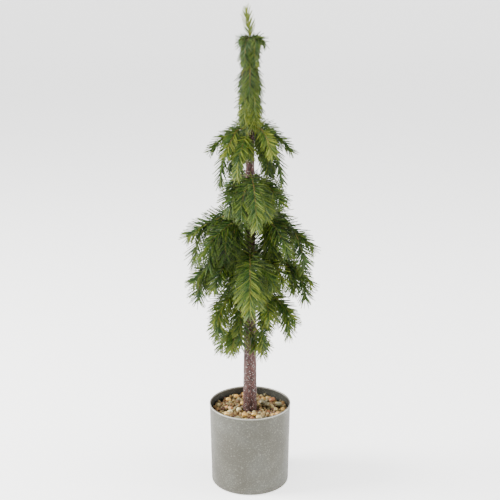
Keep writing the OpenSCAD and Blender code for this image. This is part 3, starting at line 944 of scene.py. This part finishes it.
def needleTree(n):
    # needles in a spiral along every strand, opening wide at its foot and closing at its tip
    tree, given, out = newTree("needleGrowth", (
        "Spacing", "Length", "Width", "Open At Root", "Open At Tip", "Side Pull", "Bend", "Seed", "Material",
    ))

    def chance(offset, low, high):
        return randomFloat(tree, low, high, plus(tree, given["Seed"], offset))

    strand = put(tree, "GeometryNodeMeshToCurve", None, {0: given["Geometry"]})
    even = put(tree, "GeometryNodeResampleCurve", {"mode": "LENGTH"}, {
        "Curve": strand.outputs[0], "Length": given["Spacing"],
    })
    place = put(tree, "GeometryNodeSplineParameter").outputs["Factor"]
    kept = storeFloat(tree, even.outputs[0], "share", place)
    spots = put(tree, "GeometryNodeCurveToPoints", {"mode": "EVALUATED"}, {"Curve": kept}).outputs
    share = stored(tree, "share")

    # which way each needle turns: a golden-angle spiral drawn towards the two sides
    index = put(tree, "GeometryNodeInputIndex").outputs[0]
    golden = plus(tree, times(tree, index, n["goldenAngle"]), chance(1, -n["spinJitter"], n["spinJitter"]))
    pulled = times(tree, calc(tree, "SINE", times(tree, golden, 2.0)), given["Side Pull"])
    spin = minus(tree, golden, times(tree, pulled, 0.5))
    late = power(tree, share, n["closing"])
    opened = blendTo(tree, late, given["Open At Root"], given["Open At Tip"])
    upright = calc(tree, "ABSOLUTE", calc(tree, "SINE", spin))
    lean = times(tree, opened, minus(tree, 1.0, times(tree, upright, n["upLean"])))
    lean = plus(tree, lean, chance(2, -n["leanJitter"], n["leanJitter"]))

    frameOf = put(tree, "FunctionNodeAxesToRotation", {"primary_axis": "Z", "secondary_axis": "X"}, {
        0: spots["Tangent"], 1: stored(tree, "side", "FLOAT_VECTOR"),
    }).outputs[0]

    def turned(rotation, axis, angle):
        by = put(tree, "FunctionNodeAxisAngleToRotation", None, {"Axis": axis, "Angle": angle}).outputs[0]
        return put(tree, "FunctionNodeRotateRotation", {"rotation_space": "LOCAL"}, {
            "Rotation": rotation, "Rotate By": by,
        }).outputs[0]

    facing = turned(turned(frameOf, (0, 0, 1), spin), (0, 1, 0), lean)

    # one needle: a bent, flattened four-sided blade that runs up +Z and is one unit long
    path = put(tree, "GeometryNodeCurvePrimitiveBezierSegment", {"mode": "POSITION"}, {
        "Resolution": 4, "Start": (0, 0, 0), "Start Handle": (0.0, 0, 0.35), "End": (0, 0, 1),
        "End Handle": joined(tree, given["Bend"], 0.0, 0.65),
    })
    along = put(tree, "GeometryNodeSplineParameter").outputs["Factor"]
    slim = minus(tree, 1.0, times(tree, power(tree, along, 5.0), 0.55))
    swell = plus(tree, 0.62, times(tree, calc(tree, "SINE", times(tree, along, math.pi)), 0.4))
    girth = plus(tree, times(tree, slim, swell), 0.08)
    marked = storeFloat(tree, path.outputs[0], "along", along)
    blade = put(tree, "GeometryNodeCurvePrimitiveCircle", {"mode": "RADIUS"}, {
        "Resolution": 4, "Radius": 0.5,
    })
    flat = put(tree, "GeometryNodeTransform", None, {
        "Geometry": blade.outputs[0], "Scale": (1.0, n["thickness"], 1.0),
    })
    around = put(tree, "GeometryNodeSplineParameter").outputs["Factor"]
    across = storeFloat(tree, flat.outputs[0], "across", around)
    needle = put(tree, "GeometryNodeCurveToMesh", None, {
        "Curve": marked, "Profile Curve": across, "Scale": girth, "Fill Caps": True,
    })

    # length by place on the twig, width nearly constant
    early = calc(tree, "MINIMUM", plus(tree, n["rootLength"], times(tree, share, 2.6)), 1.0)
    ending = minus(tree, 1.0, times(tree, power(tree, share, 4.0), n["tipLoss"]))
    reach = times(tree, times(tree, early, ending), chance(3, *n["lengths"]))
    reach = times(tree, reach, given["Length"])
    wide = times(tree, given["Width"], chance(4, *n["widths"]))
    placed = put(tree, "GeometryNodeInstanceOnPoints", None, {
        "Points": spots["Points"], "Instance": needle.outputs[0], "Rotation": facing,
        "Scale": joined(tree, wide, wide, reach),
    })
    tint = plus(tree, stored(tree, "fresh"), chance(5, -n["tintSpread"], n["tintSpread"]))
    tint = plus(tree, tint, times(tree, power(tree, share, 2.0), n["tipTint"]), clamp=True)
    real = realized(tree, storeFloat(tree, placed.outputs[0], "tint", tint, "INSTANCE"))
    u = plus(tree, times(tree, stored(tree, "tint"), 0.94), times(tree, stored(tree, "across"), 0.04))
    uv = joined(tree, plus(tree, u, 0.01), stored(tree, "along"), 0.0)
    mapped = put(tree, "GeometryNodeStoreNamedAttribute", {"data_type": "FLOAT2", "domain": "CORNER"}, {
        "Geometry": real, "Name": "OFBake", "Value": uv,
    })
    return closeTree(tree, mapped.outputs[0], given, out)


def twigTree():
    # a round twig along every strand, as thick as the strand's thick attribute says
    tree, given, out = newTree("twigSkin", ("Material",))
    strand = put(tree, "GeometryNodeMeshToCurve", None, {0: given["Geometry"]})
    ring = put(tree, "GeometryNodeCurvePrimitiveCircle", {"mode": "RADIUS"}, {
        "Resolution": 7, "Radius": 1.0,
    })
    skin = put(tree, "GeometryNodeCurveToMesh", None, {
        "Curve": strand.outputs[0], "Profile Curve": ring.outputs[0],
        "Scale": stored(tree, "thick"), "Fill Caps": True,
    })
    return closeTree(tree, realized(tree, skin.outputs[0]), given, out)


def coreLines(node, root):
    # the centre line of each sprig's core, foot to tip, longest core first: its rings are walked
    # back from the point farthest from the root
    bm = mergedCopy(node)
    lines = []
    for part in islands(bm):
        tip = max(part, key=lambda v: (v.co - root).length)
        seen, ring, line = {tip}, [tip], [tip.co.copy()]
        while True:
            ring = [o for v in ring for o in (e.other_vert(v) for e in v.link_edges) if o not in seen]
            ring = list(dict.fromkeys(ring))
            if not ring:
                break
            seen.update(ring)
            line.append(sum((v.co for v in ring), Vector()) / len(ring))
        lines.append(list(reversed(line)))
    bm.free()
    return sorted(lines, key=lambda l: -sum((b - a).length for a, b in zip(l, l[1:])))


def smoothLine(points):
    # a Catmull-Rom curve through the points, in even steps
    ends = [points[0] * 2 - points[1]] + points + [points[-1] * 2 - points[-2]]
    out = []
    for k in range(1, len(ends) - 2):
        p0, p1, p2, p3 = ends[k - 1:k + 3]
        count = max(1, round((p2 - p1).length / strandStep))
        for i in range(count):
            t = i / count
            out.append(0.5 * (
                2 * p1 + (p2 - p0) * t + (2 * p0 - 5 * p1 + 4 * p2 - p3) * t * t
                + (3 * p1 - p0 - 3 * p2 + p3) * t ** 3
            ))
    out.append(points[-1].copy())
    return out


def trimmed(line, gap):
    # the line without its last stretch
    line = list(line)
    while gap > 0 and len(line) > 2:
        last = (line[-1] - line[-2]).length
        if last > gap:
            line[-1] = line[-1].lerp(line[-2], gap / last)
            break
        gap -= last
        line.pop()
    return line


def hangingLine(start, azimuth, rise, fall, length):
    # an arc in an upright plane that turns from one elevation to another
    line, p, count = [start.copy()], start.copy(), max(2, round(length / strandStep))
    for i in range(count):
        e = math.radians(rise + (fall - rise) * (i + 0.5) / count)
        way = Vector((math.cos(e) * math.cos(azimuth), math.cos(e) * math.sin(azimuth), math.sin(e)))
        p = p + way * length / count
        line.append(p)
    return line


def strandMesh(name, strands):
    # strands: (points, tone, roll, radii at the foot and the tip), all in one mesh of edges
    verts, edges, side, fresh, thick = [], [], [], [], []
    for points, tone, roll, radii in strands:
        first = len(verts)
        flatWay = Vector((points[-1].x - points[0].x, points[-1].y - points[0].y, 0))
        if flatWay.length < 1 * mm:
            flatWay = Vector((points[-1].x, points[-1].y, 0))
        across = Vector((-flatWay.y, flatWay.x, 0)).normalized()
        for i, p in enumerate(points):
            way = (points[min(i + 1, len(points) - 1)] - points[max(i - 1, 0)]).normalized()
            verts.append(p)
            side.append(Matrix.Rotation(roll, 3, way) @ across)
            fresh.append(tone)
            k = i / (len(points) - 1)
            thick.append((radii[0] + (radii[1] - radii[0]) * k) * mm)
            if i:
                edges.append((first + i - 1, first + i))
    mesh = bpy.data.meshes.new(name)
    mesh.from_pydata(verts, edges, [])
    sides = mesh.attributes.new("side", "FLOAT_VECTOR", "POINT")
    sides.data.foreach_set("vector", [c for s in side for c in s])
    for label, values in (("fresh", fresh), ("thick", thick)):
        mesh.attributes.new(label, "FLOAT", "POINT").data.foreach_set("value", values)
    return mesh


growNeedles = needleTree(needleShape)
growTwigs = twigTree()


def growSprigs(name, body, strands, settings, replaced, twigMat=stemMat, slots=("needle", "stem")):
    mesh = strandMesh(name + "Strands", strands)
    settings = dict(settings, Material=needleMat)
    leaves = grow(link("leafSource", mesh), growNeedles, settings, name + "_sprigs")
    twigs = grow(link("twigSource", mesh.copy()), growTwigs, {"Material": twigMat}, name + "_twigs")
    for obj, slotName in zip((leaves, twigs), slots):
        smooth(obj)
        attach(obj, body)
    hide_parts(replaced)
    return len(leaves.data.polygons)


def branchStrands(body, s, picker):
    # the main strand runs from the bend, a side strand from its twig
    number = int(body[-2:])
    bend = Vector(joints[body]["pos_m"])
    strands = []
    for k, line in enumerate(coreLines(body + "_needles", bend)):
        foot, way = line[0], (line[1] - line[0]).normalized()
        if k == 0:
            back = (foot - bend).length
            handle = foot - way * back * 0.5
            early = [bend.lerp(handle, t) * (1 - t) + handle.lerp(foot, t) * t for t in (0.3, 0.6)]
        else:
            early = [foot - way * s["twigBack"] * mm]
        points = smoothLine(early + trimmed(line, s["tipGap"] * mm))
        sideways = s["sideRoll"] * abs((line[-1] - foot).normalized().x)
        roll = math.radians(sideways * picker.choice((-1, 1)) + picker.uniform(-s["roll"], s["roll"]))
        strands.append((points, freshness[number][k], roll, s["twigRadii"]))
    azimuth = math.atan2(bend.y, bend.x)
    main = strands[0][0]
    for turn, length, out in innerSprigs[number]:
        k = max(1, round(out * mm / strandStep))
        way = (main[k + 1] - main[k - 1]).normalized()
        dip = s["innerDip"] + s["turnDip"] * abs(turn)
        rise = max(s["innerFall"] + s["leastArc"], math.degrees(math.asin(way.z)) - dip)
        away = azimuth + math.radians(turn)
        points = hangingLine(main[k], away, rise, s["innerFall"], length * mm)
        roll = math.radians(s["sideRoll"] * abs(math.cos(away)) * picker.choice((-1, 1)))
        tone = freshness[number][0] + picker.uniform(*s["innerTone"])
        strands.append((points, tone, roll, s["twigRadii"]))
    return strands


def buildBranches(s):
    picker = random.Random(s["seed"])
    total = 0
    for body in sorted(b for b in frame["bodies"] if b.startswith("branch_")):
        strands = branchStrands(body, s, picker)
        height = joints[body]["pos_m"][2] / mm
        length, opened = next((long, wide) for top, long, wide in needleTiers if height < top)
        needles = dict(branchNeedles, Length=length * mm)
        needles["Open At Root"] = math.radians(opened)
        total += growSprigs(body, body, strands, needles, body + "_needles")
    print("branches done:", total, "faces of needles")


column = {
    "rows": (("top", 0.28, 12.5), ("mid", 0.34, 17.0), ("low", 0.56, 18.0)),  # tone, needles in mm
    "rootIn": 2.5,  # a bound sprig's twig starts this far in from its core's foot
    "rootUp": 9.0,  # and this far above it
    "tipGap": 8.0,
    "roll": 15.0,
    "twigRadii": (0.9, 0.4),
    "sprigTone": (-0.16, 0.16),
    "tuftTone": (-0.16, 0.22),
    "capTone": (-0.1, 0.16),
    "tuftLevels": (0.0, 0.35, 0.7),  # where tufts start, as a share of a row's height from its top
    "tuftTurn": (15, 75),
    "tuftRise": (2, 10),
    "tuftLength": (18, 30),
    "tuftRoot": 6.0,
    "tuftLean": 0.4,  # how far a tuft's tip may stand off, as a share of the needles' length
    # azimuth in degrees and length in mm of the tufts over the trunk's top
    "capTufts": ((-10, 26), (70, 20), (165, 18), (215, 20), (260, 20), (300, 18), (335, 20)),
    "capRoot": 2.5,
    "capLift": 0.6,
    "capRise": 30.0,
    "capFall": -88.0,
    "seed": 24,
}


def tuftLine(c, away, top, reach, picker):
    length = picker.uniform(*c["tuftLength"]) * mm
    lean = picker.uniform(1, c["tuftLean"] * reach) * mm
    rootR = c["tuftRoot"] * mm
    return smoothLine([
        away * (rootR + lean * k * k) + Vector((0, 0, top - length * k))
        for k in (0.0, 0.25, 0.5, 0.75, 1.0)
    ])


def buildColumn(c):
    # between the bound sprigs of each row hang short tufts whose tips stand off the trunk
    picker = random.Random(c["seed"])
    for row, tone, reach in c["rows"]:
        node = "column_needles_" + row
        low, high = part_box(node)
        strands = []
        for line in coreLines(node, Vector((0, 0, high.z))):
            foot = line[0]
            inward = Vector((-foot.x, -foot.y, 0)).normalized()
            above = foot + inward * c["rootIn"] * mm + Vector((0, 0, c["rootUp"] * mm))
            points = smoothLine([above] + trimmed(line, c["tipGap"] * mm))
            roll = math.radians(picker.uniform(-c["roll"], c["roll"]))
            strands.append((points, tone + picker.uniform(*c["sprigTone"]), roll, c["twigRadii"]))
            for level in c["tuftLevels"]:
                turn = math.radians(picker.uniform(*c["tuftTurn"]))
                away = Matrix.Rotation(turn, 3, "Z") @ -inward
                top = high.z + picker.uniform(*c["tuftRise"]) * mm - (high.z - low.z) * level
                tuft = tuftLine(c, away, top, reach, picker)
                strands.append((tuft, tone + picker.uniform(*c["tuftTone"]), 0.0, c["twigRadii"]))
        if row == "top":
            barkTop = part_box("trunk_bark")[1].z
            for side, length in c["capTufts"]:
                a = math.radians(side)
                start = Vector((math.cos(a), math.sin(a), 0)) * c["capRoot"] * mm
                start.z = barkTop + c["capLift"] * mm
                tuft = hangingLine(start, a, c["capRise"], c["capFall"], length * mm)
                strands.append((tuft, tone + picker.uniform(*c["capTone"]), 0.0, c["twigRadii"]))
        needles = dict(columnNeedles, Length=reach * mm)
        growSprigs("column_" + row, "potted_trunk", strands, needles, node)
    print("column done")


leader = {
    "rootDown": 2.0,
    "tipGap": 15.0,
    "tone": 0.95,
    "twigRadii": (1.2, 0.5),
}


def buildLeader(s):
    root = Vector(joints["leader"]["pos_m"])
    line = coreLines("leader_needles", root)[0]
    points = smoothLine([root - Vector((0, 0, s["rootDown"] * mm))] + trimmed(line, s["tipGap"] * mm))
    strands = [(points, s["tone"], 0.0, s["twigRadii"])]
    growSprigs(
        "leader", "leader", strands, leaderNeedles, "leader_needles",
        youngMat, ("needle_young", "stem_young"),
    )
    print("leader done")


buildBranches(sprig)
buildColumn(column)
buildLeader(leader)
